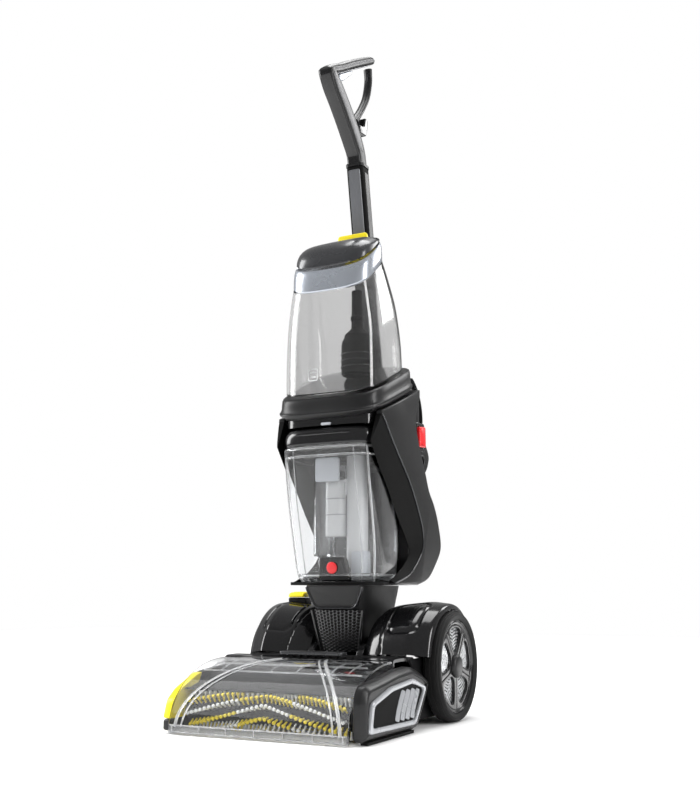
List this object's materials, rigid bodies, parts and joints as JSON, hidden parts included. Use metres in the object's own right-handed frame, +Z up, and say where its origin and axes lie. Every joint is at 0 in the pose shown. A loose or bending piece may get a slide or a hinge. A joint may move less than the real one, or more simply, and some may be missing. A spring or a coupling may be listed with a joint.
{
  "type": "carpet cleaner machine",
  "caption": "Upright wet carpet washer with brush rolls under a clear nozzle window, tilting dirty water tank, lift-off clean water tank and a loop handle",
  "frame": {"origin": "on the floor under the middle of the machine's bounding box", "axes": "+Z up, +Y to the back of the machine, +X to the machine's side that is on the right in a front view"},
  "size_m": [0.318, 0.41, 1.1017],
  "materials": {
    "satin_dark": "satin",
    "gloss_black": "gloss",
    "matte_black": "matte",
    "gunmetal": "satin metallic paint",
    "silver_paint": "metallic paint",
    "steel": "satin",
    "yellow": "satin",
    "red": "satin",
    "clear": "clear moulded plastic",
    "smoke": "smoked moulded plastic",
    "rubber": "matte",
    "tyre": "matte",
    "bristle": "tufted",
    "white": "satin"
  },
  "bodies": {
    "base": {"foot_chassis": "matte_black", "brush_hood": "satin_dark", "shoulder_left": "gloss_black", "shoulder_right": "gloss_black", "side_panel_left": "satin_dark", "side_panel_right": "satin_dark", "side_trim_right": "silver_paint", "end_cap_left": "yellow", "end_cap_screw": "matte_black", "edge_brush_left": "rubber", "edge_brush_right": "rubber", "wheel_axle": "steel", "recline_pin": "steel", "brush_motor": "steel", "drive_belt": "rubber", "spray_pump": "white"},
    "wheel_left_body": {"tyre_left": "tyre", "wheel_left": "gloss_black"},
    "wheel_right_body": {"tyre_right": "tyre", "wheel_right": "gloss_black"},
    "roll_front_body": {"roll_front": "matte_black", "bristles_front": "bristle"},
    "roll_rear_body": {"roll_rear": "matte_black", "bristles_rear": "bristle"},
    "pulley_body": {"motor_pulley": "matte_black"},
    "window_body": {"brush_window": "clear"},
    "window_latch_body": {"window_latch": "gunmetal"},
    "pedal_body": {"recline_pedal": "yellow"},
    "upright": {"neck": "satin_dark", "chin_panel": "gunmetal", "spine": "matte_black", "side_frame_left": "satin_dark", "side_frame_right": "satin_dark", "side_channel_left": "gloss_black", "side_channel_right": "gloss_black", "collar": "satin_dark", "post": "gunmetal", "post_socket": "satin_dark", "hose_port": "matte_black", "suction_motor": "steel", "motor_cover": "satin_dark", "tool_holder": "matte_black", "hose_hook": "matte_black", "cord_gland": "rubber", "handle_arm": "gunmetal", "handle_grip": "gloss_black", "handle_strut": "gunmetal"},
    "dirty_tank_body": {"dirty_tank": "clear", "dirty_lid": "matte_black", "separator": "white"},
    "float_body": {"tank_float": "red"},
    "clean_tank_body": {"clean_tank": "smoke", "tank_band": "silver_paint", "tank_cap": "gunmetal"},
    "tank_latch_body": {"tank_latch": "yellow"},
    "port_door_body": {"port_door": "satin_dark"},
    "tool_release_body": {"tool_release": "red"},
    "rocker_body": {"power_rocker": "red"},
    "trigger_body": {"handle_trigger": "silver_paint"},
    "cord_hook_body": {"cord_hook": "matte_black"}
  },
  "joints": [
    {"name": "wheel_left_spin", "type": "hinge", "parent": "base", "child": "wheel_left_body", "pos_m": [-0.145, 0.099, 0.079], "axis": [1, 0, 0], "continuous": true},
    {"name": "wheel_right_spin", "type": "hinge", "parent": "base", "child": "wheel_right_body", "pos_m": [0.145, 0.099, 0.079], "axis": [1, 0, 0], "continuous": true},
    {"name": "roll_front_spin", "type": "hinge", "parent": "base", "child": "roll_front_body", "pos_m": [-0.0015, -0.164, 0.029], "axis": [1, 0, 0], "continuous": true},
    {"name": "roll_rear_spin", "type": "hinge", "parent": "base", "child": "roll_rear_body", "pos_m": [-0.0015, -0.104, 0.029], "axis": [1, 0, 0], "continuous": true},
    {"name": "motor_pulley_spin", "type": "hinge", "parent": "base", "child": "pulley_body", "pos_m": [-0.1345, -0.045, 0.062], "axis": [1, 0, 0], "continuous": true},
    {"name": "window_lift_off", "type": "slide", "parent": "base", "child": "window_body", "axis": [0, -0.6, 0.8], "range_m": [0, 0.1]},
    {"name": "window_latch_slide", "type": "slide", "parent": "base", "child": "window_latch_body", "axis": [0, 1, 0], "range_m": [0, 0.006]},
    {"name": "recline_pedal_press", "type": "hinge", "parent": "base", "child": "pedal_body", "pos_m": [-0.11, 0.108, 0.1815], "axis": [1, 0, 0], "range_deg": [0, 7], "stiffness_Nm_per_rad": 0.3},
    {"name": "recline", "type": "hinge", "parent": "base", "child": "upright", "pos_m": [0, 0.099, 0.105], "axis": [-1, 0, 0], "range_deg": [0, 60]},
    {"name": "dirty_tank_tilt", "type": "hinge", "parent": "upright", "child": "dirty_tank_body", "pos_m": [0, 0.003, 0.198], "axis": [1, 0, 0], "range_deg": [0, 25]},
    {"name": "float_rise", "type": "slide", "parent": "dirty_tank_body", "child": "float_body", "axis": [0, 0, 1], "range_m": [0, 0.02]},
    {"name": "clean_tank_lift_off", "type": "slide", "parent": "upright", "child": "clean_tank_body", "axis": [0, -0.1695, 0.9855], "range_m": [0, 0.1]},
    {"name": "tank_latch_tilt", "type": "hinge", "parent": "clean_tank_body", "child": "tank_latch_body", "pos_m": [0, 0.0652, 0.7174], "axis": [-1, 0, 0], "range_deg": [0, 18], "stiffness_Nm_per_rad": 0.1},
    {"name": "port_door_open", "type": "hinge", "parent": "upright", "child": "port_door_body", "pos_m": [0, 0.1789, 0.458], "axis": [1, 0, 0], "range_deg": [0, 90], "stiffness_Nm_per_rad": 0.05},
    {"name": "tool_release_press", "type": "slide", "parent": "upright", "child": "tool_release_body", "axis": [-1, 0, 0], "range_m": [0, 0.003], "stiffness_N_per_m": 300},
    {"name": "power_rocker_tilt", "type": "hinge", "parent": "upright", "child": "rocker_body", "pos_m": [-0.034, 0.1315, 0.465], "axis": [1, 0, 0], "range_deg": [-8, 8]},
    {"name": "trigger_squeeze", "type": "hinge", "parent": "upright", "child": "trigger_body", "pos_m": [0, 0.047, 1.036], "axis": [-1, 0, 0], "range_deg": [0, 6], "stiffness_Nm_per_rad": 0.4},
    {"name": "cord_hook_turn", "type": "hinge", "parent": "upright", "child": "cord_hook_body", "pos_m": [0, 0.0745, 0.947], "axis": [0, 1, 0], "range_deg": [0, 180]}
  ],
  "couplings": [
    {"joint": "roll_rear_spin", "follows": "roll_front_spin", "ratio": 1}
  ]
}
